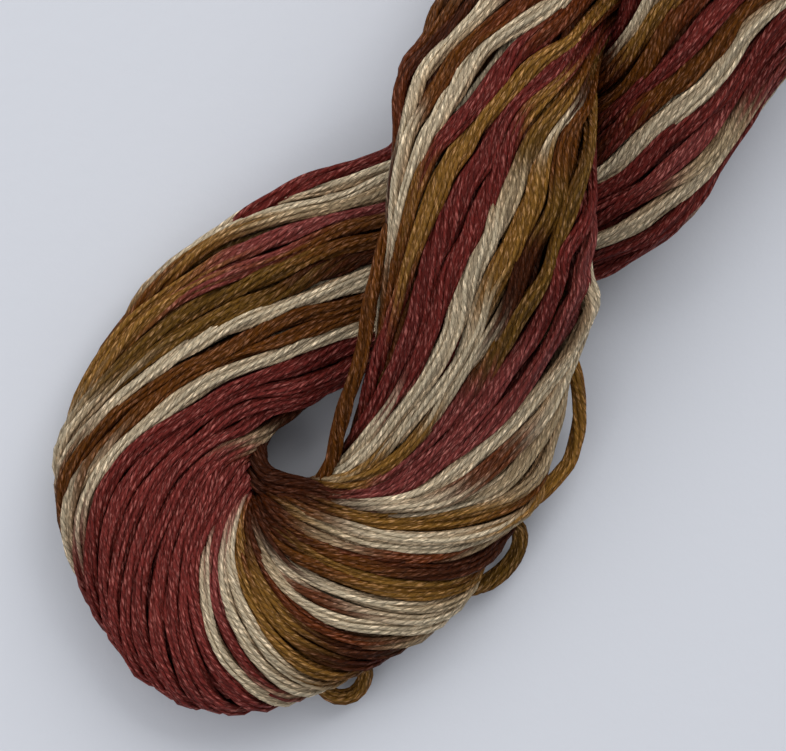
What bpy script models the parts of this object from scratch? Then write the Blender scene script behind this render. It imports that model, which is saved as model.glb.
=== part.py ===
"""Skein of six-strand embroidery floss, twisted and folded on itself.

One bundle of floss runs from the far end along leg A, round the open loop
and back as leg B. Both legs are wound round each other behind the loop.
The loop end points to -X and the skein lies on z = 0.
"""
import math

import bmesh
import bpy
import numpy as np

MM = 0.001
NAME = "skein"

# Two-leg rope behind the loop, in millimetres and degrees.
FIRST_CROSSING_X = 38.5
CROSSING_SPACING = 27.5
LEG_OFFSET = 5.5
LEG_RADIAL_HALF = 5.05
LEG_ACROSS_HALF = 8.3
AXIS_HEIGHT = 10.75
AXIS_SAG = 2.4
AXIS_SWAY = 1.2
AXIS_SWAY_LENGTH = 80.0
ROPE_STEP = 2.0
ROPE_END_X = 114.0
ROPE_TWIST_PER_MM = 10.0

# The bundle settles under its own weight: heights are pressed down by this share.
SETTLE = 0.69
REST_SINK = 0.5

# Raised ridges for the groups of floss, laid along the twist.
RIDGES = 12
RIDGE_PROFILE = (-0.42, 0.16, 0.16)
RING_LENGTH = 3.0
RING_TURN = 24.0

# Rounded closing of both cut-free ends: distance from the last ring, share of the section.
END_ROUND = ((1.6, 0.93), (3.0, 0.80), (4.0, 0.62), (4.6, 0.38))
END_TAPER_LENGTH = 14.0
END_TAPER_SHARE = 0.74

# The open loop, one row per section from leg A round to leg B.
LOOP_COLUMNS = ("x", "y", "z", "half_width", "half_height", "heading", "roll", "twist")
LOOP = (
    (35.0, 2.2, 5.0, 7.4, 5.0, 162, 10, -58),
    (29.1, 5.6, 4.9, 7.0, 4.9, 150, 5, 0),
    (23.9, 7.7, 4.9, 6.8, 5.0, 160, 0, 27),
    (19.1, 8.8, 5.0, 6.4, 5.1, 178, 0, 51),
    (14.7, 8.4, 5.1, 6.4, 5.1, 202, 0, 73),
    (11.6, 7.0, 5.1, 6.4, 5.1, 225, 0, 92),
    (9.1, 4.4, 5.0, 6.6, 5.0, 248, 0, 122),
    (7.65, 1.8, 4.9, 6.95, 4.9, 269, 0, 158),
    (7.6, -0.8, 4.9, 7.25, 4.9, 288, 0, 196),
    (8.8, -2.9, 4.9, 7.2, 4.9, 305, 0, 234),
    (10.5, -4.4, 5.0, 6.9, 5.0, 320, 0, 270),
    (12.5, -5.6, 5.1, 6.8, 5.1, 334, 0, 303),
    (14.7, -6.7, 5.2, 6.9, 5.2, 348, 0, 336),
    (17.0, -7.5, 5.3, 7.0, 5.2, 362, -1, 366),
    (19.4, -7.9, 5.6, 7.1, 5.2, 376, -3, 394),
    (21.7, -7.9, 6.1, 7.2, 5.1, 387, -8, 418),
    (24.0, -7.4, 7.0, 7.4, 5.0, 395, -14, 441),
    (26.2, -6.6, 8.4, 7.4, 4.9, 398, -21, 462),
    (28.6, -5.4, 10.4, 7.3, 4.9, 398, -27, 484),
    (31.4, -4.0, 12.9, 7.4, 5.0, 393, -27, 508),
    (35.0, -2.1, 15.5, 8.0, 5.0, 377, -16, 538),
)
LEG_A_TWIST = -92.0
LEG_B_TWIST = 570.0

FLOSS_COLOR = (0.30, 0.13, 0.075, 1.0)


def clear_scene():
    for leftover in list(bpy.data.objects):
        bpy.data.objects.remove(leftover, do_unlink=True)


def rope_row(x, leg):
    """Section of one leg where the two legs are wound round each other."""
    turn_degrees = 180.0 * (x - FIRST_CROSSING_X) / CROSSING_SPACING
    turn = math.radians(turn_degrees)
    axis_z = AXIS_HEIGHT - AXIS_SAG * math.sin(turn) ** 2
    axis_y = AXIS_SWAY * math.sin(math.pi * (x - FIRST_CROSSING_X) / AXIS_SWAY_LENGTH)
    left_to_end = max(0.0, x - (ROPE_END_X - END_TAPER_LENGTH)) / END_TAPER_LENGTH
    share = 1.0 - (1.0 - END_TAPER_SHARE) * left_to_end ** 2
    side = -1.0 if leg == "A" else 1.0
    along = x - FIRST_CROSSING_X
    row = [
        x,
        axis_y + side * LEG_OFFSET * math.sin(turn),
        axis_z + side * LEG_OFFSET * math.cos(turn),
        LEG_ACROSS_HALF * share,
        LEG_RADIAL_HALF * share,
        180.0 if leg == "A" else 360.0,
        side * turn_degrees,
    ]
    if leg == "A":
        row.append(LEG_A_TWIST - ROPE_TWIST_PER_MM * along)
    else:
        row.append(LEG_B_TWIST + ROPE_TWIST_PER_MM * along)
    return row


def bundle_rows():
    """Every section in order: leg A inwards, the loop, leg B outwards."""
    count = int(round((ROPE_END_X - FIRST_CROSSING_X) / ROPE_STEP))
    xs = np.linspace(FIRST_CROSSING_X, ROPE_END_X, count + 1)
    rows = [rope_row(x, "A") for x in xs[::-1]]
    rows += [list(row) for row in LOOP]
    rows += [rope_row(x, "B") for x in xs]
    return np.array(rows, dtype=float)


def smooth_rows(rows):
    """Catmull-Rom rows between the given ones, close where the bundle turns or twists fast."""
    result = []
    last = len(rows) - 1
    for i in range(last):
        p0 = rows[max(i - 1, 0)]
        p1 = rows[i]
        p2 = rows[i + 1]
        p3 = rows[min(i + 2, last)]
        length = np.linalg.norm(p2[:3] - p1[:3])
        turn = abs(p2[7] - p1[7])
        steps = max(1, math.ceil(length / RING_LENGTH), math.ceil(turn / RING_TURN))
        for k in range(steps):
            t = k / steps
            a = 2.0 * p1
            b = p2 - p0
            c = 2.0 * p0 - 5.0 * p1 + 4.0 * p2 - p3
            d = -p0 + 3.0 * p1 - 3.0 * p2 + p3
            result.append(0.5 * (a + b * t + c * t * t + d * t ** 3))
    result.append(rows[last])
    return result


def section_points(row, scale=1.0, shift_x=0.0):
    """Ridged oval section in its own leaning plane."""
    x, y, z, half_width, half_height, heading, roll, twist = row
    heading = math.radians(heading)
    roll = math.radians(roll)
    across = np.array((math.sin(heading), -math.cos(heading), 0.0))
    up = np.array((0.0, 0.0, 1.0))
    across_leaning = across * math.cos(roll) + up * math.sin(roll)
    up_leaning = up * math.cos(roll) - across * math.sin(roll)
    per_ridge = len(RIDGE_PROFILE)
    count = RIDGES * per_ridge
    points = []
    for i in range(count):
        angle = math.radians(twist + 360.0 * i / count)
        lift = RIDGE_PROFILE[i % per_ridge]
        sideways = -(half_width + lift) * scale * math.cos(angle)
        upwards = (half_height + lift) * scale * math.sin(angle)
        point = np.array((x + shift_x, y, z)) + across_leaning * sideways + up_leaning * upwards
        points.append(point)
    return points


def all_rings():
    rows = smooth_rows(bundle_rows())
    start = rows[0]
    end = rows[-1]
    rings = []
    for distance, share in reversed(END_ROUND):
        capped = start.copy()
        capped[7] -= ROPE_TWIST_PER_MM * distance
        rings.append(section_points(capped, share, distance))
    rings += [section_points(row) for row in rows]
    for distance, share in END_ROUND:
        capped = end.copy()
        capped[7] += ROPE_TWIST_PER_MM * distance
        rings.append(section_points(capped, share, distance))
    return np.array(rings)


def settle(rings):
    """Press the heights down and set the underside flat on the table."""
    rings = rings.copy()
    rings[:, :, 2] = np.maximum(rings[:, :, 2] * SETTLE - REST_SINK, 0.0)
    low = rings.reshape(-1, 3).min(axis=0)
    high = rings.reshape(-1, 3).max(axis=0)
    rings[:, :, 0] -= (low[0] + high[0]) / 2.0
    rings[:, :, 1] -= (low[1] + high[1]) / 2.0
    return rings


def build_mesh(rings):
    mesh = bpy.data.meshes.new(NAME)
    bm = bmesh.new()
    grid = []
    for ring in rings:
        grid.append([bm.verts.new(tuple(point * MM)) for point in ring])
    count = len(grid[0])
    for near, far in zip(grid, grid[1:]):
        for i in range(count):
            j = (i + 1) % count
            bm.faces.new((near[i], near[j], far[j], far[i]))
    for ring, flip in ((grid[0], False), (grid[-1], True)):
        centre = sum((v.co for v in ring), start=ring[0].co * 0.0) / count
        pole = bm.verts.new(centre)
        for i in range(count):
            j = (i + 1) % count
            corners = (ring[i], ring[j], pole) if flip else (ring[j], ring[i], pole)
            bm.faces.new(corners)
    bmesh.ops.triangulate(bm, faces=bm.faces[:], quad_method="SHORT_EDGE")
    bmesh.ops.recalc_face_normals(bm, faces=bm.faces[:])
    bm.to_mesh(mesh)
    bm.free()
    return mesh


def floss_material():
    material = bpy.data.materials.new("cotton floss")
    material.use_nodes = True
    shader = material.node_tree.nodes["Principled BSDF"]
    shader.inputs["Base Color"].default_value = FLOSS_COLOR
    shader.inputs["Roughness"].default_value = 0.62
    shader.inputs["Metallic"].default_value = 0.0
    material.diffuse_color = FLOSS_COLOR
    return material


def main():
    clear_scene()
    collection = bpy.data.collections.new("embroidery floss skein")
    bpy.context.scene.collection.children.link(collection)
    mesh = build_mesh(settle(all_rings()))
    mesh.materials.append(floss_material())
    skein = bpy.data.objects.new(NAME, mesh)
    collection.objects.link(skein)


main()
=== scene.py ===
import math
import bpy
import numpy as np
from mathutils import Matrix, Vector


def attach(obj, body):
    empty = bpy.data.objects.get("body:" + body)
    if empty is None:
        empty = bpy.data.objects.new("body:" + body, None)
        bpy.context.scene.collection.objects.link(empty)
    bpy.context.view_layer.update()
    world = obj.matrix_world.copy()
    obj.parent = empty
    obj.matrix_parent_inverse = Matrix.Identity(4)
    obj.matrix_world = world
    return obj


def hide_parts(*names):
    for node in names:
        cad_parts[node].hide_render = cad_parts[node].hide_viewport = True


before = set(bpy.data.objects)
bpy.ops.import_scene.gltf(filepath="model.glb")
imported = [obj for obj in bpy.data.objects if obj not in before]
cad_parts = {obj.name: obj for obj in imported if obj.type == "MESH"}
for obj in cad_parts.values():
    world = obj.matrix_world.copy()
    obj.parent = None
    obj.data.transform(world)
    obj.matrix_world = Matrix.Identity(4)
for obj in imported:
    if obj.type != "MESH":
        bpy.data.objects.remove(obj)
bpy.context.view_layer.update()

# All the making is done in millimetres and turned into metres at the very end.
millimetre = 0.001
rng = np.random.default_rng(41)

# The lay of the whole bundle. Lengths are in millimetres from the tip of the loop.
skein = {
    "firstCrossing": 38.5,      # where leg B first passes over leg A
    "crossingSpacing": 27.5,
    "legOffset": 5.5,
    "legRadialHalf": 5.05,
    "legAcrossHalf": 8.3,
    "axisHeight": 10.75,
    "axisSag": 2.4,
    "axisSway": 1.2,
    "axisSwayLength": 80.0,
    "ropeStep": 2.0,
    "ropeEnd": 114.0,
    "taperLength": 14.0,
    "taperShare": 0.74,
    "settle": 0.69,             # heights pressed down by the bundle's own weight
    "restSink": 0.5,
    "centre": (59.4555, 0.2460),    # where the frame's origin lies
    "twistPerMm": 10.3,         # degrees, in the plain part of both legs
    "twistEase": 1.1,           # rows
    "easeWindow": 6,
    "legRows": 38,              # number of the last row of leg A, the open loop's rows follow
    "places": 26,               # numbered places for flosses round the outside
    "rimPlaces": 241,           # places at which each section is measured round
    "finePerRow": 12,
    "tableGive": 0.45,          # how softly the yarn meets the table
    "tableGap": 0.015,
}

# One row per section of the open loop: x, y, z, half width, half height, heading, roll
loopRows = (
    (35.0, 2.2, 5.0, 7.4, 5.0, 162, 10),
    (29.1, 5.6, 4.9, 7.0, 4.9, 150, 5),
    (23.9, 7.7, 4.9, 6.8, 5.0, 160, 0),
    (19.1, 8.8, 5.0, 6.4, 5.1, 178, 0),
    (14.7, 8.4, 5.1, 6.4, 5.1, 202, 0),
    (11.6, 7.0, 5.1, 6.4, 5.1, 225, 0),
    (9.1, 4.4, 5.0, 6.6, 5.0, 248, 0),
    (7.65, 1.8, 4.9, 6.95, 4.9, 269, 0),
    (7.6, -0.8, 4.9, 7.25, 4.9, 288, 0),
    (8.8, -2.9, 4.9, 7.2, 4.9, 305, 0),
    (10.5, -4.4, 5.0, 6.9, 5.0, 320, 0),
    (12.5, -5.6, 5.1, 6.8, 5.1, 334, 0),
    (14.7, -6.7, 5.2, 6.9, 5.2, 348, 0),
    (17.0, -7.5, 5.3, 7.0, 5.2, 362, -1),
    (19.4, -7.9, 5.6, 7.1, 5.2, 376, -3),
    (21.7, -7.9, 6.1, 7.2, 5.1, 387, -8),
    (24.0, -7.4, 7.0, 7.4, 5.0, 395, -14),
    (26.2, -6.6, 8.4, 7.4, 4.9, 398, -21),
    (28.6, -5.4, 10.4, 7.3, 4.9, 398, -27),
    (31.4, -4.0, 12.9, 7.4, 5.0, 393, -27),
    (35.0, -2.1, 15.5, 8.0, 5.0, 377, -16),
)

# How far the yarn has turned round the bundle at each row of the loop, and along both legs.
loopTwist = (-223, -211, -201, -184, -155, -125, -92, -54, -5, 48, 93, 128, 164, 205,
             248, 280, 300, 314, 325, 336, 356)
legTwistA = ((38.5, -233), (44.5, -259), (48.4, -286), (54.4, -355), (62.3, -455), (66.0, -492))
legTwistB = ((38.5, 378), (42.5, 410), (46.4, 458), (50.4, 515), (54.4, 572), (62.0, 650))

# Where single flosses run beside their even place: floss number, then row and true place.
layGuides = (
    (1, ((39.7, 0.2), (40.6, 0.6), (41.4, 0.5), (41.9, 0.1))),
    (25, ((39.4, 25.2), (40.5, 24.9), (41.8, 24.3))),
    (21, ((39.9, 21.1), (41.2, 20.35), (42.2, 20.3), (43.3, 22.1))),
    (18, ((40.0, 18.7), (41.5, 18.1), (42.7, 18.3), (44.0, 19.3))),
    (15, ((40.5, 14.8), (41.6, 15.3), (43.9, 15.4), (44.6, 16.8))),
    (13, ((41.6, 13.7), (43.2, 13.0), (44.2, 12.4), (45.4, 13.3), (46.0, 14.5))),
    (10, ((42.1, 13.0), (44.2, 10.4), (45.9, 9.2), (46.8, 10.9))),
    (8, ((46.2, 7.0), (46.9, 8.0), (47.8, 8.0))),
    (5.5, ((46.6, 4.6), (46.9, 5.9), (47.6, 5.7), (48.5, 5.6))),
    (3, ((47.8, 0.9), (48.2, 2.1), (48.8, 3.4))),
    (0, ((48.0, -0.3), (49.2, -0.2), (50.5, -0.1))),
    (24, ((49.8, 23.3), (50.8, 23.5), (51.4, 23.9))),
    (22, ((48.8, 22.3), (49.9, 21.5), (50.9, 20.7), (51.4, 21.0), (51.8, 21.9))),
    (18, ((49.4, 19.3), (50.8, 18.0), (51.7, 17.5), (52.4, 18.2), (53.1, 19.5))),
    (15, ((51.7, 13.8), (52.4, 13.8), (53.2, 15.0), (53.9, 17.4))),
    (12, ((53.2, 12.4), (54.2, 11.5), (55.2, 12.2), (56.3, 13.2), (57.3, 13.7))),
    (10, ((52.8, 12.4), (54.1, 9.9), (55.8, 8.8), (57.9, 9.8), (61.1, 9.7))),
    (6, ((53.8, 7.5), (55.4, 5.6), (58.1, 5.4), (59.5, 5.8), (61.0, 5.6))),
    (4, ((55.8, 4.4), (57.4, 2.7), (58.7, 3.0), (60.4, 4.1), (63.0, 3.9), (65.9, 4.2))),
    (5, ((60.0, 5.0), (61.5, 4.9), (63.0, 4.3), (64.5, 4.2), (66.0, 4.6))),
    (6.5, ((60.0, 6.4), (61.5, 6.1), (63.0, 4.9), (64.5, 4.8), (66.5, 5.6))),
    (8, ((60.5, 8.0), (62.0, 7.2), (63.5, 6.2), (65.0, 6.2), (67.0, 7.0))),
    (3, ((58.8, 1.2), (59.8, 2.7), (61.7, 3.2), (64.8, 3.3))),
    (1, ((59.2, 1.0), (60.8, 0.3), (62.6, 0.2), (64.6, 1.0), (66.5, 1.6))),
    (25, ((60.2, 25.9), (62.2, 24.9), (64.8, 24.7))),
    (23, ((27.7, 22.2), (30.0, 22.5), (33.0, 23.2), (34.6, 22.9))),
    (19, ((29.2, 19.3), (31.0, 18.8), (33.1, 19.6), (36.1, 19.5))),
)

# How the guides are followed. Reaches are in rows and in places round the bundle.
guideEase = {"evenWeight": 0.12, "rowReach": 0.9, "placeReach": 1.3,
             "samples": 1200, "window": 30, "smooth": 0.75}

# Where the surface stands proud or sinks in: row, degrees round the section,
# reach in rows, reach in degrees, height.
proudPlaces = (
    (39.2, 180, 1.0, 45, -1.05),
    (41.2, 180, 0.8, 45, 0.15),
    (44.0, 180, 0.6, 50, 0.70),
    (43.6, 0, 0.6, 40, 0.30),
    (45.2, 0, 0.8, 40, 0.40),
    (50.0, 0, 1.0, 40, 0.50),
    (47.4, 180, 1.3, 45, 0.45),
    (53.0, 180, 0.6, 38, -1.00),
    (55.2, 180, 0.7, 38, -0.55),
    (63.4, 0, 0.9, 45, -0.85),
    (61.5, 0, 0.6, 45, 0.30),
    (59.0, 0, 0.7, 38, -0.80),
    (60.2, 180, 0.7, 38, -0.35),
    (58.1, 180, 0.7, 38, 0.35),
)


def bell(distance):
    return np.exp(-0.5 * distance ** 2)


def layProud(t, theta):
    # height of the surface over the plain section, at rows t and angles theta
    total = np.zeros(np.broadcast(t, theta).shape)
    for row, degrees, rowReach, degreeReach, height in proudPlaces:
        apart = (np.degrees(theta) - degrees + 180.0) % 360.0 - 180.0
        total += height * bell((t - row) / rowReach) * bell(apart / degreeReach)
    return total


def layShift(number, t):
    # how far a floss sits beside its even place, in floss widths, taken from the guides near it
    half = skein["places"] / 2
    total, weight = np.zeros(len(t)), np.full(len(t), guideEase["evenWeight"])
    for guide, pairs in layGuides:
        at, place = np.array(pairs).T
        outside = np.maximum(0, np.maximum(at[0] - t, t - at[-1]))
        apart = (number - guide + half) % skein["places"] - half
        near = bell(outside / guideEase["rowReach"]) * bell(apart / guideEase["placeReach"])
        total += near * (np.interp(t, at, place) - guide)
        weight += near
    # smoothed along the yarn, so that no floss kinks
    shift = total / weight
    even = np.linspace(t[0], t[-1], guideEase["samples"])
    window = guideEase["window"]
    ease = bell(np.arange(-window, window + 1) * (even[1] - even[0]) / guideEase["smooth"])
    padded = np.pad(np.interp(even, t, shift), window, mode="edge")
    return np.interp(t, even, np.convolve(padded, ease / ease.sum(), "valid"))


def ropeRow(x, side):
    # side -1 is leg A, 1 is leg B
    turnDeg = 180.0 * (x - skein["firstCrossing"]) / skein["crossingSpacing"]
    turn = math.radians(turnDeg)
    axisZ = skein["axisHeight"] - skein["axisSag"] * math.sin(turn) ** 2
    axisY = skein["axisSway"] * math.sin(math.pi * (x - skein["firstCrossing"]) / skein["axisSwayLength"])
    over = max(0.0, x - (skein["ropeEnd"] - skein["taperLength"])) / skein["taperLength"]
    share = 1.0 - (1.0 - skein["taperShare"]) * over ** 2
    table = legTwistA if side < 0 else legTwistB
    twist = np.interp(x, [p[0] for p in table], [p[1] for p in table])
    twist += side * skein["twistPerMm"] * max(0.0, x - table[-1][0])
    away = side * skein["legOffset"]
    return (x, axisY + away * math.sin(turn), axisZ + away * math.cos(turn),
            skein["legAcrossHalf"] * share, skein["legRadialHalf"] * share,
            180.0 if side < 0 else 360.0, side * turnDeg, twist)


def bundleRows():
    count = int(round((skein["ropeEnd"] - skein["firstCrossing"]) / skein["ropeStep"]))
    xs = np.linspace(skein["firstCrossing"], skein["ropeEnd"], count + 1)
    rows = [ropeRow(x, -1) for x in xs[::-1]]
    rows += [row + (twist,) for row, twist in zip(loopRows, loopTwist)]
    rows += [ropeRow(x, 1) for x in xs]
    rows = np.array(rows, float)
    # ease the turning of the yarn from row to row
    window = skein["easeWindow"]
    ease = np.exp(-np.arange(-window, window + 1) ** 2 / (2 * skein["twistEase"] ** 2))
    twist = rows[:, 7]
    longer = np.concatenate([twist[0] + (twist[1] - twist[0]) * np.arange(-window, 0), twist,
                             twist[-1] + (twist[-1] - twist[-2]) * np.arange(1, window + 1)])
    rows[:, 7] = np.convolve(longer, ease / ease.sum(), "valid")
    return rows


def smoothRows(rows, t):
    # a smooth curve through the rows, read at the row numbers t
    last = len(rows) - 1
    i = np.clip(np.floor(t).astype(int), 0, last - 1)
    f = (t - i)[:, None]
    p0, p1 = rows[np.maximum(i - 1, 0)], rows[i]
    p2, p3 = rows[i + 1], rows[np.minimum(i + 2, last)]
    return 0.5 * (2 * p1 + (p2 - p0) * f + (2 * p0 - 5 * p1 + 4 * p2 - p3) * f ** 2
                  + (3 * p1 - p0 - 3 * p2 + p3) * f ** 3)


def sectionPlace(rows, theta, depth):
    # place on each settled section at angle theta (0 inner edge, 90 degrees top), depth under the surface
    x, y, z, a, b, heading, roll = rows.T[:7]
    h, r = np.radians(heading), np.radians(roll)
    across = np.stack([np.sin(h), -np.cos(h), 0 * h], 1)
    up = np.array([0, 0, 1.0])
    acrossLean = across * np.cos(r)[:, None] + up * np.sin(r)[:, None]
    upLean = up * np.cos(r)[:, None] - across * np.sin(r)[:, None]
    k = skein["settle"]
    aa = a - depth / np.sqrt(np.cos(r) ** 2 + (k * np.sin(r)) ** 2)
    bb = b - depth / np.sqrt(np.sin(r) ** 2 + (k * np.cos(r)) ** 2)
    p = (np.stack([x, y, z], 1) - acrossLean * (aa * np.cos(theta))[:, None]
         + upLean * (bb * np.sin(theta))[:, None])
    p[:, 2] = p[:, 2] * k - skein["restSink"]
    return p


def aboveTable(points, low):
    # yarn that would sink into the table is pressed flat on it instead
    give = skein["tableGive"]
    z = points[:, 2]
    pressed = low + give * np.exp(np.minimum(0, z - low - give) / give)
    points[:, 2] = np.where(z < low + give, pressed, z)
    return points


# Linear colours of the three dye baths and of what they make where they run together.
dyes = {
    "burgundy": (0.148, 0.019, 0.015),
    "red": (0.190, 0.028, 0.023),
    "rose": (0.210, 0.042, 0.037),
    "russet": (0.118, 0.026, 0.004),
    "brown": (0.121, 0.037, 0.003),
    "dark": (0.049, 0.010, 0.001),
    "olive": (0.144, 0.070, 0.009),
    "gold": (0.232, 0.112, 0.019),
    "beige": (0.415, 0.315, 0.190),
    "cream": (0.585, 0.487, 0.337),
}

# Where each floss of the outside changes dye: the row it starts at, then the dye.
# A dot leaves the rows after it to chance.
dyeRuns = {
    0: "28 russet 30 brown 33 dark 34.5 . 38.6 beige 40.6 gold 41.6 brown 43.4 cream 44.6 . "
       "46.6 dark 48.3 beige 49 cream 52 . 58 cream 60.7 brown 64.4 russet 66.6 .",
    1: "28.6 gold 31.6 russet 33 dark 34 . 38.5 cream 41.8 gold 44 . 46.2 dark 48.5 russet "
       "50.6 beige 51.6 . 57.5 brown 59 cream 67.4 .",
    2: "29 cream 31.3 russet 32.6 dark 33.6 . 37.6 cream 42.2 gold 44 . 46 dark 48 gold 49.2 dark "
       "51.2 . 57 russet 58 brown 59.2 gold 59.8 burgundy 65 russet 68 .",
    3: "29 burgundy 31.8 dark 33.6 . 37 burgundy 42 . 46 russet 47.7 gold 49.2 dark 50.6 . 55 dark "
       "56.6 burgundy 58.5 gold 68 .",
    4: "29 burgundy 31 dark 33.4 . 37 burgundy 42 . 45.6 red 46.8 gold 49.8 brown 50.6 . 54.4 dark "
       "55.8 burgundy 66 russet 68.4 .",
    5: "31 dark 33 . 45 red 46.6 cream 48.9 gold 50 . 53.4 beige 55 cream 56.3 burgundy 62.8 gold "
       "64.6 burgundy 66.4 dark 68.6 .",
    6: "44.7 red 46.5 cream 49.6 . 53 cream 60 beige 61.6 olive 63 gold 64.4 brown 66 .",
    7: "44.2 red 46.2 rose 47.2 burgundy 48.7 beige 49.4 . 52.6 beige 53.8 gold 55.2 cream "
       "58.5 gold 62.6 cream 63.6 dark 65 .",
    8: "43.6 red 46.5 cream 49.2 . 52 brown 53.1 beige 53.7 gold 56.3 cream 58 dark 60.3 olive "
       "62 brown 65 .",
    9: "42.8 red 49 . 51.6 dark 53 gold 53.9 rose 57.2 olive 63.6 .",
    10: "41.4 dark 42.7 russet 43.6 red 48.6 . 51.4 dark 53 rose 58 burgundy 62.8 .",
    11: "41 dark 42.5 beige 43.1 russet 43.6 red 48.4 . 51.2 dark 52.9 rose 61.8 .",
    12: "41 dark 42.4 beige 43.2 red 48 . 51 dark 53 cream 61 .",
    13: "40.8 dark 42.6 beige 43.1 red 47.8 . 51 dark 52.9 cream 54 russet 55.7 cream 58.4 .",
    14: "40.2 red 47.6 . 50.8 dark 53 cream 54 beige 57.6 .",
    15: "39.4 red 47.3 . 50.4 dark 52.3 gold 54.1 beige 57 .",
    16: "39.4 red 47 . 49.8 dark 52.1 gold 53.8 brown 56 .",
    17: "34 burgundy 46.8 . 48.8 dark 50.3 brown 51.3 cream 53.4 gold 55.6 .",
    18: "27 burgundy 38.6 cream 44.4 burgundy 46.5 . 48.7 dark 50.4 gold 50.9 beige 51.6 cream "
        "53.4 beige 55.5 .",
    19: "28 rose 30.4 beige 32 cream 38.3 brown 43.9 cream 45.1 burgundy 46.4 . 48.3 dark "
        "50.1 brown 50.6 beige 51.2 russet 53 beige 55 .",
    20: "27 burgundy 30.8 beige 33.8 burgundy 38.2 brown 46 . 48 dark 50.8 russet 51.6 dark 54.6 .",
    21: "27 burgundy 31.5 rose 35 burgundy 38.2 cream 43.6 brown 45.4 . 47.8 dark 50.2 brown "
        "51.6 dark 54.4 . 63 brown 65.4 .",
    22: "26.4 burgundy 38 dark 40.4 olive 42.9 cream 44.8 . 47.4 dark 49.8 gold 52.5 brown 54 . "
        "61 brown 65.2 .",
    23: "26 cream 35.3 . 38.6 brown 40.2 olive 43.3 cream 45 . 47.2 dark 49 brown 50.8 gold 53.4 . "
        "59 russet 63 brown 65.4 .",
    24: "27 brown 32.8 burgundy 34 dark 36 . 38.6 brown 40.5 rose 41.5 gold 43.3 cream 45 . "
        "47 dark 49.5 cream 51.4 beige 53 . 59.2 russet 61.6 dark 66 .",
    25: "27.6 burgundy 33.4 dark 35 . 38.4 rose 41.3 gold 43.6 olive 45 . 46.8 dark 48.5 cream "
        "49.2 russet 50.7 cream 52.4 . 58.6 dark 59.9 cream 65.6 russet 67 .",
}
# Dye settings, and the painted shade on the sides of each floss and between its strands.
dyeAndPaintedShade = {
    "cycle": ("brown", "cream", "burgundy", "gold", "cream", "rose", "olive", "cream", "burgundy"),
    "freeRun": (5.0, 15.0),     # rows, where the runs are left to chance
    "leastRun": 0.5,
    "lastRow": 99.0,
    "soft": 0.13,               # rows over which one dye gives way to the next
    "creep": 0.7,               # how far the dye creeps along the yarn
    "creepWindow": 5,
    "strandShift": 0.35,        # rows by which the strands of one floss differ
    "strandStrength": 0.12,
    "strayStrength": 0.15,
    # the heart's colour is darkened as painted shade between the strands
    "heartPaintedShade": 0.82,
    "paintedSideShade": 0.53,          # painted shade: how dark the sides of a floss are painted beside its crown
    "paintedShadeDeepening": (0.75, 1.15, 1.5),     # red, green and blue; the painted shade is warmer, darker in green and blue
    "paintedLitCrown": (0.35, 1.25, 0.8), # lowest lift, span and roundness of the crown, painted lighter than the sides
}


def dyeAlong(runs):
    # row and colour of every change of dye, with chance runs in the free stretches
    at = int(rng.integers(0, len(dyeAndPaintedShade["cycle"])))
    words = runs.split()
    stretches = [(-1.0, ".")] + [(float(row), name) for row, name in zip(words[::2], words[1::2])]
    marks, names = [], []
    for (row, name), (following, _) in zip(stretches, stretches[1:] + [(dyeAndPaintedShade["lastRow"], ".")]):
        if name != ".":
            marks.append(row)
            names.append(name)
            continue
        while row < following - dyeAndPaintedShade["leastRun"]:
            marks.append(row)
            names.append(dyeAndPaintedShade["cycle"][at % len(dyeAndPaintedShade["cycle"])])
            at += 1
            row += rng.uniform(*dyeAndPaintedShade["freeRun"])
    return marks, np.array([dyes[name] for name in names])


def dyeAt(marks, colours, t):
    # colour at t with a soft change over each mark
    colour = np.tile(colours[0], (len(t), 1))
    for mark, after in zip(marks[1:], colours[1:]):
        share = 1.0 / (1.0 + np.exp(-(t - mark) / dyeAndPaintedShade["soft"]))
        colour = colour * (1 - share[:, None]) + after * share[:, None]
    return colour


# The second layer and the core keep only a share of the dye colour, darkened as painted shade deep in the
# bundle.
layers = {
    "outer": {"flosses": 26, "depth": 0.50, "strands": 6, "strandRadius": 0.160, "ringRadius": 0.33,
              "sides": 5, "step": 0.85, "pieces": 4, "paintedDepthShade": 1.0, "heart": 1.04, "loose": 26},
    "second": {"flosses": 18, "depth": 1.25, "strands": 4, "strandRadius": 0.26, "ringRadius": 0.26,
               "sides": 5, "step": 1.4, "pieces": 1, "paintedDepthShade": 0.60, "heart": 0, "loose": 0},
    "core": {"flosses": 12, "depth": 2.30, "strands": 1, "strandRadius": 0.60, "ringRadius": 0.0,
             "sides": 8, "step": 1.7, "pieces": 1, "paintedDepthShade": 0.5, "heart": 0, "loose": 0},
}
yarn = {
    "strandTurn": 24.0,         # length of one turn of the six strands
    "wanderSide": 0.25,         # how far a floss wanders from its even place
    "sideWaves": (11, 19, 34),
    "wanderDepth": 0.17,
    "depthWaves": (9, 16, 27),
    "depthBias": 0.3,           # most flosses lie a little deeper than even
    "leastSink": -0.02,
    "splay": 1.12,              # share of its room that one floss fills
    "widths": (0.80, 1.45),     # thinnest and widest floss
    "ropeProud": 0.42,          # the two legs press into each other
    "pressed": 1.0,             # more so on the sides that touch
    "pressRows": 3.0,
    "quietRows": 3.0,           # rows at both ends in which nothing wanders
    "endRows": 6.0,             # rows in which the turning is brought to meet the far ends
    "looseMargin": 12,          # single flosses that stand off the bundle for a short way
    "looseReach": (2.5, 5.0),
    "looseHeight": (0.2, 0.5),
    "outStep": 0.6,             # how far out the outward direction is read
    "heartSides": 6,
    "heartLaps": 4,             # turns of the fibre lines round the heart
    "restGap": 0.03,
    "endFade": 3.0,             # length at both ends over which a floss comes to its even shape
    "linesOffset": 400,         # so no two strands show the same fibre lines
}
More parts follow.
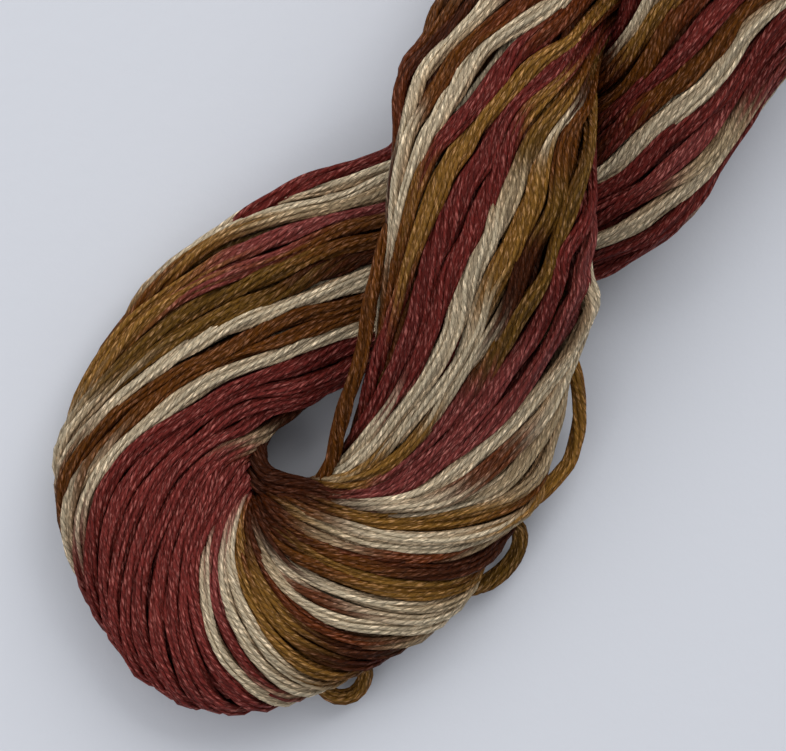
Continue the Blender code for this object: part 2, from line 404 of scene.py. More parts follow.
# Chance wandering of the strands of a floss: wavelengths and size.
strandWaves = {
    "turn": ((23, 41, 67), 0.9), "splay": ((7, 12, 21), 0.10), "angle": ((9, 15, 29), 0.38),
    "side": ((5, 8, 13), 0.065), "lift": ((4, 7, 12), 0.065), "thick": ((4, 7), 0.05),
}
farTurn = {"handleShare": 0.60, "handle": 0.5, "slack": 1.7, "leastPlaces": 6, "centreBack": 2.0}


def wave(length, lengths, size):
    # smooth chance wandering along a length
    total = np.zeros(len(length))
    for wavelength in lengths:
        total += rng.uniform(0.5, 1.0) * np.sin(2 * math.pi * (length / wavelength + rng.uniform(0, 1)))
    return total * size / math.sqrt(len(lengths))


def unit(v):
    return v / (np.linalg.norm(v, axis=-1, keepdims=True) + 1e-12)


def lengthAlong(points):
    return np.concatenate([[0], np.cumsum(np.linalg.norm(np.diff(points, axis=0), axis=1))])


def rowSteps(rows, depth, step):
    # row numbers spaced so that the yarn moves about one step each time
    fine = np.linspace(0, len(rows) - 1, (len(rows) - 1) * skein["finePerRow"] + 1)
    r = smoothRows(rows, fine)
    moves = []
    for start in np.arange(4) / 4:
        theta = 2 * math.pi * (start + r[:, 7] / 360.0)
        p = sectionPlace(r, theta, depth)
        moves.append(np.linalg.norm(np.diff(p, axis=0), axis=1))
    along = np.concatenate([[0], np.cumsum(np.mean(moves, axis=0))])
    count = int(along[-1] / step)
    return np.interp(np.linspace(0, along[-1], count + 1), along, fine)


def evenTwist(r, t, count, last):
    # turning of the yarn in whole turns, brought to meet the pairs of flosses at both far ends
    offset = 0.0 if (count // 2) % 2 else 0.5
    twist = r[:, 7] / 360.0
    nearStart = np.clip(1 - t / yarn["endRows"], 0, 1) ** 2
    nearEnd = np.clip(1 - (last - t) / yarn["endRows"], 0, 1) ** 2
    startFix = (round(twist[0] * count - offset) + offset) / count - twist[0]
    endFix = (round(twist[-1] * count - offset) + offset) / count - twist[-1]
    return twist + nearStart * startFix + nearEnd * endFix


def layFlosses(rows, layer):
    # centre line and outward direction of each floss of one layer, evenly spaced round every section
    count, depth = layer["flosses"], layer["depth"]
    last = len(rows) - 1
    t = rowSteps(rows, depth, layer["step"])
    r = smoothRows(rows, t)
    angles = np.linspace(0, 2 * math.pi, skein["rimPlaces"])
    rim = np.stack([sectionPlace(r, np.full(len(t), a), depth) for a in angles], 1)
    steps = np.linalg.norm(np.diff(rim, axis=1), axis=2)
    along = np.concatenate([np.zeros((len(t), 1)), np.cumsum(steps, 1)], 1)
    share = along / along[:, -1:]
    twist = evenTwist(r, t, count, last)
    length = layer["step"] * np.arange(len(t))
    quiet = np.minimum(1, np.minimum(t, last - t) / yarn["quietRows"])
    loose = np.zeros((count, len(t)))
    for k in range(layer["loose"]):
        middle = rng.uniform(yarn["looseMargin"], length[-1] - yarn["looseMargin"])
        reach = rng.uniform(*yarn["looseReach"])
        loose[rng.integers(0, count)] += rng.uniform(*yarn["looseHeight"]) * bell((length - middle) / reach)
    # the two legs press into each other where they are wound, most on the sides that touch
    legA, legB = skein["legRows"], last - skein["legRows"]
    wound = np.clip(np.maximum(legA - 1 - t, t - legB - 1) / yarn["pressRows"], 0, 1)
    wound = yarn["ropeProud"] * wound * quiet
    places, outs = [], []
    for i in range(count):
        aside = wave(length, yarn["sideWaves"], yarn["wanderSide"] / count) * quiet
        sink = wave(length, yarn["depthWaves"], yarn["wanderDepth"]) + yarn["wanderDepth"] * yarn["depthBias"]
        shift = layShift(i * skein["places"] / count, t) / skein["places"]
        s = (i / count + twist + aside + shift) % 1.0
        theta = np.array([np.interp(s[k], share[k], angles) for k in range(len(t))])
        facing = np.where(t < legA + 1, np.sin(theta), -np.sin(theta))
        proud = wound * (1 + yarn["pressed"] * np.clip(facing, 0, 1) ** 3) + layProud(t, theta) + loose[i]
        own = depth - proud + np.maximum(sink * quiet, yarn["leastSink"])
        p, q = sectionPlace(r, theta, own), sectionPlace(r, theta, own - yarn["outStep"])
        places.append(p)
        outs.append(unit(q - p))
    return t, np.array(places), np.array(outs)


def turnArc(places, outs, here, after, end, step):
    # the turn that joins two flosses at a far end, leaving and coming back along their own directions
    start, finish = places[here][end], places[after][end]
    inner = 1 if end == 0 else -2
    leaving, coming = unit(start - places[here][inner]), unit(places[after][inner] - finish)
    span = np.linalg.norm(finish - start)
    handle = farTurn["handleShare"] * span + farTurn["handle"]
    count = max(farTurn["leastPlaces"], int(round(span * farTurn["slack"] / step)))
    s = np.linspace(0, 1, count + 2)[1:-1][:, None]
    points = ((1 - s) ** 3 * start + 3 * (1 - s) ** 2 * s * (start + handle * leaving)
              + 3 * (1 - s) * s ** 2 * (finish - handle * coming) + s ** 3 * finish)
    centre = places[:, end].mean(axis=0) - np.array([farTurn["centreBack"], 0, 0])
    # its first and last quarter lean over to the outward directions of the two flosses
    nearStart, nearFinish = np.clip(1 - 4 * s, 0, 1), np.clip(4 * s - 3, 0, 1)
    outward = (unit(points - centre) * (1 - nearStart - nearFinish)
               + outs[here][end] * nearStart + outs[after][end] * nearFinish)
    return points, unit(outward)


def endPartners(ends):
    # flosses of the left and right half of a far end, joined in pairs of the same height
    middle = ends[:, 1].mean()
    order = sorted(range(len(ends)), key=lambda i: ends[i, 2])
    left = [i for i in order if ends[i, 1] > middle]
    right = [i for i in order if ends[i, 1] <= middle]
    return dict(list(zip(left, right)) + list(zip(right, left)))


def joinChains(t, places, outs, layer):
    # follow the yarn from floss to floss through the far ends until it comes back
    partners = {0: endPartners(places[:, 0]), -1: endPartners(places[:, -1])}
    free = set(range(layer["flosses"]))
    chains = []
    while free:
        first = min(free)
        here, forward = first, True
        points, outward, mark = [], [], []
        while True:
            free.discard(here)
            order = slice(None) if forward else slice(None, None, -1)
            end = -1 if forward else 0
            after = partners[end][here]
            arc, arcOut = turnArc(places, outs, here, after, end, layer["step"])
            floss = np.where(np.arange(len(arc)) < len(arc) // 2, float(here), float(after))
            points += [places[here][order], arc]
            outward += [outs[here][order], arcOut]
            mark += [np.stack([np.full(len(t), float(here)), t[order]], 1),
                     np.stack([floss, np.full(len(arc), t[end])], 1)]
            here, forward = after, not forward
            if here == first and forward:
                break
        chains.append([np.concatenate(part + [part[0][:1]]) for part in (points, outward, mark)])
    return chains


def spacingAround(places):
    # distance to the neighbours on both sides, measured square to the yarn
    tangent = unit(np.gradient(places, axis=1))
    after = np.roll(places, -1, axis=0) - places
    after = after - tangent * np.sum(after * tangent, axis=2, keepdims=True)
    gap = np.linalg.norm(after, axis=2)
    return 0.5 * (gap + np.roll(gap, 1, axis=0))


def threadFrames(points, outward, closed):
    # directions along, out of and across the yarn at each of its points
    tangent = np.empty_like(points)
    tangent[1:-1] = points[2:] - points[:-2]
    if closed:
        tangent[0] = tangent[-1] = points[1] - points[-2]
    else:
        tangent[0], tangent[-1] = points[1] - points[0], points[-1] - points[-2]
    tangent = unit(tangent)
    out = unit(outward - tangent * np.sum(outward * tangent, axis=1, keepdims=True))
    return tangent, out, np.cross(tangent, out)


def newObject(name, data):
    thing = bpy.data.objects.new(name, data)
    bpy.context.scene.collection.objects.link(thing)
    return thing


bakeStrip = {"nodes": 128, "margin": 0.14}     # how the tubes are laid out flat


def cornerPairs(u0, u1, v0, v1):
    # flat places of the four corners of each face
    corners = ((u0, v0), (u0, v1), (u1, v1), (u1, v0))
    return np.stack([np.stack(corner, 2) for corner in corners], 2).reshape(-1, 2)


class tubeBasket:
    # gathers the tubes of one piece and turns them into a single mesh
    def __init__(self, name):
        self.name = name
        self.verts, self.faces, self.colours, self.lay, self.bake = [], [], [], [], []
        self.count = self.strips = 0

    def addTube(self, points, frames, thick, wide, colourOf, length, sides, closed, laps=1):
        # a closed tube ends where it starts, an open one is capped at both ends
        _, out, across = frames
        n = len(points)
        around = 2 * math.pi * np.arange(sides) / sides
        ring = points[:, None, :] + (out[:, None, :] * (thick[:, None] * np.cos(around))[:, :, None]
                                     + across[:, None, :] * (wide[:, None] * np.sin(around))[:, :, None])
        ring[:, :, 2] = np.maximum(ring[:, :, 2], skein["tableGap"])
        rings = n - 1 if closed else n
        self.verts.append(ring[:rings].reshape(-1, 3))
        self.colours.append(colourOf(ring)[:rings].reshape(-1, 3))
        j = np.arange(n - 1)[:, None]
        k = np.arange(sides)[None, :]
        j2, k2 = (j + 1) % rings, (k + 1) % sides
        quad = np.stack([j * sides + k, j * sides + k2, j2 * sides + k2, j2 * sides + k], 2)
        self.faces.append(quad.reshape(-1, 4) + self.count)
        v0, v1 = (k + 0 * j) / sides, (k + 1 + 0 * j) / sides
        u0, u1 = length[:-1][:, None] + 0 * k, length[1:][:, None] + 0 * k
        self.lay.append(cornerPairs(u0, u1, laps * v0, laps * v1))
        nodes, margin = bakeStrip["nodes"], bakeStrip["margin"]
        place = (j % nodes + 0 * k) / nodes
        low = self.strips + j // nodes + margin
        self.bake.append(cornerPairs(place, place + 1.0 / nodes,
                                     low + (1 - 2 * margin) * v0, low + (1 - 2 * margin) * v1))
        self.strips += int(math.ceil((n - 1) / nodes))
        if not closed:
            for at, order in ((0, range(sides)), (n - 1, range(sides - 1, -1, -1))):
                self.faces.append(np.array([[at * sides + m for m in order]]) + self.count)
                self.lay.append(np.full((sides, 2), (length[at], 0.5)))
                self.bake.append(np.full((sides, 2), (0.5 / nodes, self.strips - 0.5)))
        self.count += rings * sides

    def makeObject(self, material):
        verts = (np.concatenate(self.verts) - np.array(skein["centre"] + (0.0,))) * millimetre
        corners = np.concatenate([f.ravel() for f in self.faces])
        sizes = np.concatenate([np.full(len(f), f.shape[1]) for f in self.faces])
        mesh = bpy.data.meshes.new(self.name)
        mesh.vertices.add(len(verts))
        mesh.vertices.foreach_set("co", verts.astype(np.float32).ravel())
        mesh.loops.add(len(corners))
        mesh.loops.foreach_set("vertex_index", corners.astype(np.int32))
        mesh.polygons.add(len(sizes))
        mesh.polygons.foreach_set("loop_start", (np.cumsum(sizes) - sizes).astype(np.int32))
        mesh.polygons.foreach_set("use_smooth", np.ones(len(sizes), bool))
        mesh.update(calc_edges=True)
        colours = np.concatenate(self.colours)
        colours = np.column_stack([colours, np.ones(len(colours))])
        dye = mesh.color_attributes.new("dye", "FLOAT_COLOR", "POINT")
        dye.data.foreach_set("color", colours.astype(np.float32).ravel())
        bake = np.concatenate(self.bake) / (1, self.strips)
        for label, flat in (("threadLay", np.concatenate(self.lay)), ("OFBake", bake)):
            mesh.uv_layers.new(name=label).data.foreach_set("uv", flat.astype(np.float32).ravel())
        mesh.materials.append(material)
        mesh.validate()
        piece = newObject(self.name, mesh)
        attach(piece, "root")
        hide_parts("skein")
        print(self.name, "has", int(np.sum(sizes - 2)), "triangles")


# Settings of the three thread effects, shared by every floss, the painted glints among them.
threadEffects = {
    "driftScale": 0.35, "driftTurns": 4.0, "bulgeRound": 0.7, "grooveWidth": 2.0,
    "lines": (("Fibre", 0.0, 0.34, 0.34, 2.0),      # offset along, least, width, detail
              ("Painted Glint", 57.3, 0.55, 0.12, 1.0)),
    "mottleNoise": (800.0, 3.0), "mottleGain": 3.0,
    "paleGain": 6.0,            # how soon a dye counts as pale enough to take the full painted glint
}


def newGroup(name, inputs, outputs):
    group = bpy.data.node_groups.new(name, "ShaderNodeTree")
    for label, kind, value in inputs:
        socket = group.interface.new_socket(name=label, in_out="INPUT", socket_type="NodeSocket" + kind)
        if value is not None:
            socket.default_value = value
    for label, kind in outputs:
        group.interface.new_socket(name=label, in_out="OUTPUT", socket_type="NodeSocket" + kind)
    return group, group.nodes.new("NodeGroupInput"), group.nodes.new("NodeGroupOutput")


def newMaterial(name):
    material = bpy.data.materials.new(name)
    material.use_nodes = True
    return material, material.node_tree, material.node_tree.nodes["Principled BSDF"]


def setInputs(node, values):
    for label, value in values.items():
        node.inputs[label].default_value = value


def mathNode(tree, operation, a, b=None, clamp=False):
    node = tree.nodes.new("ShaderNodeMath")
    node.operation = operation
    node.use_clamp = clamp
    for socket, value in ((node.inputs[0], a), (node.inputs[1], b)):
        if isinstance(value, (int, float)):
            socket.default_value = value
        elif value is not None:
            tree.links.new(value, socket)
    return node.outputs[0]


def plus(tree, a, b):
    return mathNode(tree, "ADD", a, b)


def minus(tree, a, b, clamp=False):
    return mathNode(tree, "SUBTRACT", a, b, clamp)


def times(tree, a, b, clamp=False):
    return mathNode(tree, "MULTIPLY", a, b, clamp)


def split(tree, kind, source):
    node = tree.nodes.new("ShaderNodeSeparate" + kind)
    tree.links.new(source, node.inputs[0])
    return node.outputs


def noiseNode(tree, place, scale, detail):
    node = tree.nodes.new("ShaderNodeTexNoise")
    setInputs(node, {"Scale": scale, "Detail": detail})
    tree.links.new(place, node.inputs["Vector"])
    return node.outputs[0]


def vectorNode(tree, operation, a, b):
    node = tree.nodes.new("ShaderNodeVectorMath")
    node.operation = operation
    tree.links.new(a, node.inputs[0])
    tree.links.new(b, node.inputs["Scale" if operation == "SCALE" else 1])
    return node.outputs[0]


def makeThreadTwist():
    # the two plies of every strand, read from length along and share around
    tree, entry, leave = newGroup(
        "threadTwist", (("Lay", "Vector", None), ("Groove Spacing", "Float", 0.8),
                        ("Unevenness", "Float", 0.25)),
        (("Bulge", "Float"), ("Groove", "Float")))
    length, around, _ = split(tree, "XYZ", entry.outputs["Lay"])
    wander = noiseNode(tree, entry.outputs["Lay"], threadEffects["driftScale"], 1.0)
    drift = times(tree, wander, entry.outputs["Unevenness"])
    turns = plus(tree, mathNode(tree, "DIVIDE", length, entry.outputs["Groove Spacing"]),
                 times(tree, around, 2.0))      # two plies to the turn
    turns = plus(tree, turns, times(tree, drift, threadEffects["driftTurns"]))
    swell = mathNode(tree, "ABSOLUTE", mathNode(tree, "SINE", times(tree, turns, math.pi)))
    rise = times(tree, swell, threadEffects["grooveWidth"], clamp=True)
    tree.links.new(mathNode(tree, "POWER", swell, threadEffects["bulgeRound"]), leave.inputs["Bulge"])
    # Groove marks the hollows between the plies, where the colour is darkened as painted shade
    tree.links.new(minus(tree, 1.0, rise, clamp=True), leave.inputs["Groove"])
    return tree


def makeFibreLines():
    # fine fibres lying nearly along the strand, and a mask for the painted glints on some of them
    tree, entry, leave = newGroup(
        "fibreLines", (("Lay", "Vector", None), ("Length", "Float", 0.7), ("Fineness", "Float", 1.6),
                       ("Lean", "Float", 7.0)),
        (("Fibre", "Float"), ("Painted Glint", "Float")))
    length, around, _ = split(tree, "XYZ", entry.outputs["Lay"])
    lean = mathNode(tree, "DIVIDE", length, entry.outputs["Lean"])
    angle = times(tree, plus(tree, around, lean), 2 * math.pi)
    along = mathNode(tree, "DIVIDE", length, entry.outputs["Length"])
    for label, offset, least, width, detail in threadEffects["lines"]:
        place = tree.nodes.new("ShaderNodeCombineXYZ")
        tree.links.new(plus(tree, along, offset), place.inputs[0])
        for number, way in ((1, "COSINE"), (2, "SINE")):
            aside = times(tree, mathNode(tree, way, angle), entry.outputs["Fineness"])
            tree.links.new(aside, place.inputs[number])
        noise = noiseNode(tree, place.outputs[0], 1.0, detail)
        lifted = mathNode(tree, "DIVIDE", minus(tree, noise, least), width, clamp=True)
        tree.links.new(lifted, leave.inputs[label])
    return tree


def makeDyeAndPaintedLight():
    # uneven take-up of the dye, with painted shade between the plies and painted glints where fibres crown
    tree, entry, leave = newGroup(
        "dyeAndPaintedLight", (("Dye", "Color", (0.3, 0.1, 0.1, 1)), ("Groove", "Float", 0.0), ("Fibre", "Float", 0.5),
                     ("Painted Glint", "Float", 0.0), ("Painted Groove Shade", "Float", 0.4), ("Fibre Shade", "Float", 0.4),
                     ("Glint Gain", "Float", 1.0), ("Glint Color", "Color", (0.03, 0.03, 0.03, 1)),
                     ("Mottle", "Float", 0.25)),
        (("Color", "Color"),))
    given = entry.outputs
    place = tree.nodes.new("ShaderNodeNewGeometry")
    broad = noiseNode(tree, place.outputs["Position"], *threadEffects["mottleNoise"])
    uneven = times(tree, minus(tree, broad, 0.5), threadEffects["mottleGain"])
    below = minus(tree, 1.0, given["Fibre"])
    lift = plus(tree, 1.0, times(tree, uneven, given["Mottle"]))
    # painted shade in the grooves between the plies
    dark = minus(tree, 1.0, times(tree, given["Groove"], given["Painted Groove Shade"]))
    soft = minus(tree, 1.0, times(tree, below, given["Fibre Shade"]))
    # painted glints lighten the colour on the crowns of the fibres
    paintedGlintLift = plus(tree, 1.0, times(tree, given["Painted Glint"], given["Glint Gain"]))
    factor = times(tree, times(tree, lift, dark), times(tree, soft, paintedGlintLift))
    # the painted glint is added less on a dark dye
    red = split(tree, "Color", given["Dye"])[0]
    pale = times(tree, red, threadEffects["paleGain"], clamp=True)
    paintedShine = vectorNode(tree, "SCALE", given["Glint Color"], times(tree, pale, given["Painted Glint"]))
    dyed = vectorNode(tree, "SCALE", given["Dye"], factor)
    tree.links.new(vectorNode(tree, "ADD", dyed, paintedShine), leave.inputs["Color"])
    return tree


threadTwist = makeThreadTwist()
fibreLines = makeFibreLines()
dyeAndPaintedLight = makeDyeAndPaintedLight()

flossFinish = {
    "shader": {"Roughness": 0.45, "Specular IOR Level": 0.08},
    "twist": {"Groove Spacing": 0.66, "Unevenness": 0.25},
    "fibre": {"Length": 0.50, "Fineness": 1.7, "Lean": 4.0},
    # painted shade in the ply grooves and painted glints, with fibre tone and mottle
    "depth": {"Painted Groove Shade": 0.36, "Fibre Shade": 0.34, "Glint Gain": 1.0,
              "Glint Color": (0.122, 0.088, 0.076, 1.0), "Mottle": 0.16},
    "bump": {"Strength": 1.0, "Distance": 0.0001},
    "bulgeHeight": 0.7,
    "fibreHeight": 0.5,
}


def makeFlossMaterial(name, finish):
    material, tree, shader = newMaterial(name)
    dye = tree.nodes.new("ShaderNodeVertexColor")
    dye.layer_name = "dye"
    lay = tree.nodes.new("ShaderNodeUVMap")
    lay.uv_map = "threadLay"
    twist, fibre, depth = (tree.nodes.new("ShaderNodeGroup") for _ in range(3))
    twist.node_tree, fibre.node_tree, depth.node_tree = threadTwist, fibreLines, dyeAndPaintedLight
    bump = tree.nodes.new("ShaderNodeBump")
    for label, node in (("shader", shader), ("twist", twist), ("fibre", fibre), ("depth", depth),
                        ("bump", bump)):
        setInputs(node, finish[label])
    # painted glints: fibres painted lighter on the crests of the plies
    paintedLitCrown = times(tree, fibre.outputs["Painted Glint"], twist.outputs["Bulge"])
    height = plus(tree, times(tree, twist.outputs["Bulge"], finish["bulgeHeight"]),
                  times(tree, fibre.outputs["Fibre"], finish["fibreHeight"]))
    for source, socket in ((lay.outputs["UV"], twist.inputs["Lay"]), (lay.outputs["UV"], fibre.inputs["Lay"]),
                           (dye.outputs["Color"], depth.inputs["Dye"]), (paintedLitCrown, depth.inputs["Painted Glint"]),
                           (twist.outputs["Groove"], depth.inputs["Groove"]),
                           (fibre.outputs["Fibre"], depth.inputs["Fibre"]),
                           (depth.outputs["Color"], shader.inputs["Base Color"]),
                           (height, bump.inputs["Height"]),
                           (bump.outputs["Normal"], shader.inputs["Normal"])):
        tree.links.new(source, socket)
    return material


flossMaterial = makeFlossMaterial("space dyed floss", flossFinish)
print("Floss material ready")


def addFloss(baskets, points, outward, width, dyeOf, layer, closed=True):
    # one floss: its strands wound slowly round each other over a soft heart, whose colour is darkened as
    # painted shade
    phase = rng.uniform(0, 2 * math.pi)
    frames = threadFrames(points, outward, closed)
    _, out, across = frames
    length = lengthAlong(points)
    strands, radius, ringRadius = layer["strands"], layer["strandRadius"], layer["ringRadius"]
    turns = max(1, round(length[-1] / yarn["strandTurn"])) if closed else length[-1] / yarn["strandTurn"]
    fade = np.minimum(1, np.minimum(length, length[-1] - length) / yarn["endFade"])

    def wander(name):
        return wave(length, *strandWaves[name]) * fade

    angle = phase + 2 * math.pi * turns * length / length[-1] + wander("turn")
    splay = (width / 2 * yarn["splay"] - radius) * (1 + wander("splay"))
    least, span, roundness = dyeAndPaintedShade["paintedLitCrown"]

    def withPaintedShade(colour):
        # painted shade: the colour is darkened, and made warmer, towards the sides of the floss and between
        # its strands, lightest on its crown
        def colourOf(ring):
            lift = np.sum((ring - points[:, None, :]) * out[:, None, :], axis=2) / (ringRadius + radius)
            paintedLitCrown = np.clip((lift + least) / span, 0, 1) ** roundness
            shade = dyeAndPaintedShade["paintedSideShade"] + (1 - dyeAndPaintedShade["paintedSideShade"]) * paintedLitCrown
            return colour[:, None, :] * shade[:, :, None] ** np.array(dyeAndPaintedShade["paintedShadeDeepening"])
        return colourOf

    for k in range(strands):
        a = angle + 2 * math.pi * k / strands + wander("angle")
        side = splay if strands > 1 else 0 * length
        centre = (points + across * (side * np.cos(a) + wander("side"))[:, None]
                  + out * (ringRadius * np.sin(a) + wander("lift"))[:, None])
        centre = aboveTable(centre, radius + yarn["restGap"])
        basket = min(baskets, key=lambda b: b.count)
        thick = radius * (1 + wander("thick"))
        basket.addTube(centre, threadFrames(centre, out, closed), thick, thick, withPaintedShade(dyeOf(k)),
                       length + rng.uniform(0, yarn["linesOffset"]), layer["sides"], closed)
    # the heart fills the hollows between the strands, its colour darkened as painted shade
    if layer["heart"]:
        basket = min(baskets, key=lambda b: b.count)
        heart = aboveTable(points.copy(), ringRadius + yarn["restGap"])
        basket.addTube(heart, frames, ringRadius * layer["heart"] + 0 * length, splay * layer["heart"],
                       withPaintedShade(dyeOf(strands) * dyeAndPaintedShade["heartPaintedShade"]), length, yarn["heartSides"], closed,
                       laps=yarn["heartLaps"])


def buildLayer(name, rows):
    layer = layers[name]
    t, places, outs = layFlosses(rows, layer)
    widths = np.clip(spacingAround(places), *yarn["widths"])
    chains = joinChains(t, places, outs, layer)
    count = layer["flosses"]
    charts = [dyeAlong(dyeRuns[int(i * skein["places"] / count)]) for i in range(count)]
    baskets = [tubeBasket("%sFloss%d" % (name, k + 1)) for k in range(layer["pieces"])]
    print(name, "layer:", len(chains), "closed lengths,", len(t), "places each")
    window = dyeAndPaintedShade["creepWindow"]
    creep = bell(np.arange(-window, window + 1) * layer["step"] / dyeAndPaintedShade["creep"])
    for points, outward, mark in chains:
        index, row = mark[:, 0].astype(int), mark[:, 1]
        width = np.zeros(len(points))
        for i in np.unique(index):
            width[index == i] = np.interp(row[index == i], t, widths[i])

        def dyeOf(strand):
            shift = rng.uniform(-dyeAndPaintedShade["strandShift"], dyeAndPaintedShade["strandShift"])
            colour = np.zeros((len(points), 3))
            for i in np.unique(index):
                colour[index == i] = dyeAt(*charts[i], row[index == i] + shift)
            # the dye creeps a little along the yarn
            for c in range(3):
                crept = np.convolve(np.pad(colour[:-1, c], window, mode="wrap"), creep / creep.sum(), "valid")
                colour[:, c] = np.append(crept, crept[0])
            # inner layers are darkened as painted shade, and each strand is a little lighter or darker at
            # random
            return colour * layer["paintedDepthShade"] * (1 + rng.uniform(-1, 1) * dyeAndPaintedShade["strandStrength"])

        addFloss(baskets, points, outward, width, dyeOf, layer)
    for basket in baskets:
        basket.makeObject(flossMaterial)


# Flosses that have slipped off the bundle: x, y and height along each, dye, width.
strayFlosses = (
    {"dye": "gold", "width": 0.96, "path": (
        (34.28, -9.30, 4.4), (33.05, -10.88, 4.2), (32.22, -11.82, 3.6), (31.38, -12.53, 3.0),
        (30.41, -13.17, 2.6), (29.33, -13.66, 2.3), (28.32, -13.94, 2.2), (27.41, -13.90, 2.3),
        (26.36, -13.79, 2.6), (25.24, -13.59, 3.0), (24.03, -13.05, 3.6), (22.86, -12.14, 3.8))},
    {"dye": "olive", "width": 1.10, "path": (
        (23.21, -12.93, 3.0), (22.84, -13.94, 2.4), (22.21, -14.49, 1.8), (21.56, -14.81, 1.5),
        (20.72, -14.88, 1.3), (19.86, -14.80, 1.3), (18.89, -14.48, 1.5), (17.96, -13.88, 2.2),
        (16.90, -12.90, 3.0))},
    {"dye": "gold", "width": 1.00, "path": (
        (8.19, -5.81, 4.6), (7.79, -7.32, 4.0), (7.48, -8.19, 3.4), (7.19, -8.98, 2.8),
        (6.89, -9.77, 2.2), (6.79, -10.49, 1.7), (6.93, -11.11, 1.4), (7.28, -11.57, 1.2),
        (7.74, -11.87, 1.1), (8.37, -11.96, 1.1), (8.99, -11.82, 1.3), (9.55, -11.48, 1.9),
        (9.86, -10.61, 2.6))},
    {"dye": "brown", "width": 0.92, "path": (
        (33.47, 4.68, 11.0), (31.27, 3.65, 10.9), (28.93, 2.68, 10.6), (26.93, 1.58, 9.9),
        (25.44, 0.88, 9.3), (24.04, 0.38, 8.6), (22.59, -0.05, 7.8), (21.28, -0.56, 7.0),
        (19.98, -1.20, 6.1), (18.90, -1.60, 5.3), (17.75, -1.78, 4.3), (16.34, -2.04, 3.0))},
    {"dye": "dark", "width": 1.10, "path": (
        (18.25, 4.55, 1.4), (17.56, 3.64, 3.1), (16.79, 2.74, 4.2), (16.13, 2.00, 4.3),
        (15.91, 1.11, 4.3), (16.28, -0.14, 4.5), (16.75, -1.41, 4.9), (17.19, -2.85, 5.4),
        (17.63, -4.30, 5.6))},
    {"dye": "dark", "width": 1.10, "path": (
        (16.76, 3.85, 1.2), (16.03, 2.89, 2.8), (15.35, 2.06, 3.9), (15.07, 1.05, 4.0),
        (15.41, -0.15, 4.4), (15.95, -1.52, 4.9), (16.39, -2.97, 5.2))},
    {"dye": "burgundy", "width": 1.00, "path": (
        (38.01, 5.83, 3.4), (37.50, 6.57, 3.8), (36.54, 7.47, 3.9), (35.07, 8.79, 3.9),
        (33.45, 9.99, 3.9), (31.72, 11.11, 3.9), (29.94, 11.87, 3.9), (28.41, 12.50, 3.7),
        (27.25, 12.76, 2.8))},
)
# A stray is thinner where it leaves the bundle.
strayShape = {"step": 0.6, "fineSteps": 20, "endThin": 0.5, "endReach": 1.5}


def curveThrough(path, step):
    # evenly spaced places on a smooth curve through the path
    path = np.array(path, float)
    last = len(path) - 1
    fine = smoothRows(path, np.linspace(0, last, last * strayShape["fineSteps"] + 1))
    along = lengthAlong(fine)
    at = np.linspace(0, along[-1], int(along[-1] / step) + 2)
    return np.stack([np.interp(at, along, fine[:, k]) for k in range(3)], 1)


def buildStrays():
    basket = tubeBasket("strayFloss")
    for stray in strayFlosses:
        points = curveThrough(stray["path"], strayShape["step"])
        outward = np.tile([0.0, 0.0, 1.0], (len(points), 1))
        colour = np.tile(dyes[stray["dye"]], (len(points), 1))
        fromEnd = np.minimum(np.arange(len(points)), np.arange(len(points))[::-1])
        width = stray["width"] * (1 - strayShape["endThin"] * np.exp(-fromEnd / strayShape["endReach"]))

        def dyeOf(strand):
            return colour * (1 + rng.uniform(-1, 1) * dyeAndPaintedShade["strayStrength"])

        addFloss([basket], points, outward, width, dyeOf, layers["outer"], closed=False)
    basket.makeObject(flossMaterial)


rows = bundleRows()
for layerName in layers:
    buildLayer(layerName, rows)
buildStrays()


# Distances and sizes of the studio are in metres, the view is in millimetres.
studio = {
    "floorHalf": 0.9,
    "floorColour": (0.590, 0.616, 0.677),
    "floorShader": {"Roughness": 0.9, "Specular IOR Level": 0.15},
    "floorGrain": (900.0, 4.0),
    "floorBump": {"Strength": 0.12, "Distance": 0.0002},
    "windowSize": 0.66,
    "windowColour": (1.0, 0.985, 0.965),
    "windows": ((5.2, (0.684, 0.082, 0.579)), (1.95, (0.271, 0.634, 0.579)),      # power, place
                (1.5, (-0.414, 0.552, 0.579)), (1.6, (-0.684, -0.082, 0.579))),
    "fillColour": (0.97, 0.98, 1.0),
    "fillStrength": 0.40,
    "backdropColour": (0.560, 0.586, 0.640),
    "viewCentre": (25.9, -1.4),
    "viewWidth": 50.7,
    "viewHeight": 7.0,
    "viewRight": (0.6, -0.8),   # the way that lies to the right in the view
    "lens": 300.0,
    "sensor": 36.0,
    "clip": (0.01, 20.0),
}


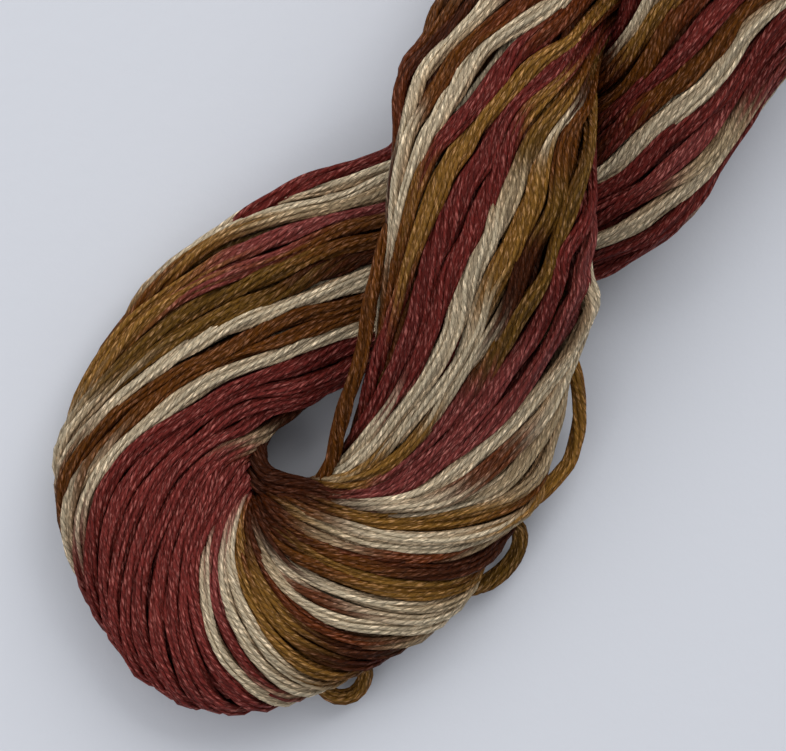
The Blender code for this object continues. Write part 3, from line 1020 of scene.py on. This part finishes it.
def makeFloor():
    mesh = bpy.data.meshes.new("tableTop")
    s = studio["floorHalf"]
    mesh.from_pydata([(-s, -s, 0), (s, -s, 0), (s, s, 0), (-s, s, 0)], [], [(0, 1, 2, 3)])
    material, tree, shader = newMaterial("pale paper")
    setInputs(shader, studio["floorShader"])
    shader.inputs["Base Color"].default_value = studio["floorColour"] + (1.0,)
    place = tree.nodes.new("ShaderNodeNewGeometry")
    bump = tree.nodes.new("ShaderNodeBump")
    setInputs(bump, studio["floorBump"])
    tree.links.new(noiseNode(tree, place.outputs["Position"], *studio["floorGrain"]), bump.inputs["Height"])
    tree.links.new(bump.outputs["Normal"], shader.inputs["Normal"])
    mesh.materials.append(material)
    newObject("tableTop", mesh)


def makeLights():
    for number, (power, place) in enumerate(studio["windows"]):
        lamp = bpy.data.lights.new("softWindow%d" % (number + 1), "AREA")
        lamp.energy = power
        lamp.size = studio["windowSize"]
        lamp.color = studio["windowColour"]
        window = newObject(lamp.name, lamp)
        window.location = place
        window.rotation_euler = (-Vector(place)).to_track_quat("-Z", "Y").to_euler()
    world = bpy.data.worlds.new("soft room")
    world.use_nodes = True
    room = world.node_tree
    fill = room.nodes["Background"]
    setInputs(fill, {"Color": studio["fillColour"] + (1.0,), "Strength": studio["fillStrength"]})
    backdrop = room.nodes.new("ShaderNodeBackground")   # what is seen beyond the floor
    setInputs(backdrop, {"Color": studio["backdropColour"] + (1.0,)})
    rays = room.nodes.new("ShaderNodeLightPath")
    choice = room.nodes.new("ShaderNodeMixShader")
    for number, source in enumerate((rays.outputs["Is Camera Ray"], fill.outputs[0], backdrop.outputs[0])):
        room.links.new(source, choice.inputs[number])
    room.links.new(choice.outputs[0], room.nodes["World Output"].inputs["Surface"])
    bpy.context.scene.world = world


def makeCamera():
    data = bpy.data.cameras.new("camera")
    data.lens = studio["lens"]
    data.sensor_width = studio["sensor"]
    data.clip_start, data.clip_end = studio["clip"]
    camera = newObject("camera", data)
    height = studio["lens"] * studio["viewWidth"] / studio["sensor"] + studio["viewHeight"]
    x, y = (studio["viewCentre"][k] - skein["centre"][k] for k in (0, 1))
    camera.location = (x * millimetre, y * millimetre, height * millimetre)
    camera.rotation_euler = (0, 0, math.atan2(studio["viewRight"][1], studio["viewRight"][0]))
    bpy.context.scene.camera = camera


makeFloor()
makeLights()
makeCamera()
bpy.context.scene.view_settings.view_transform = "Standard"
print("Studio set")
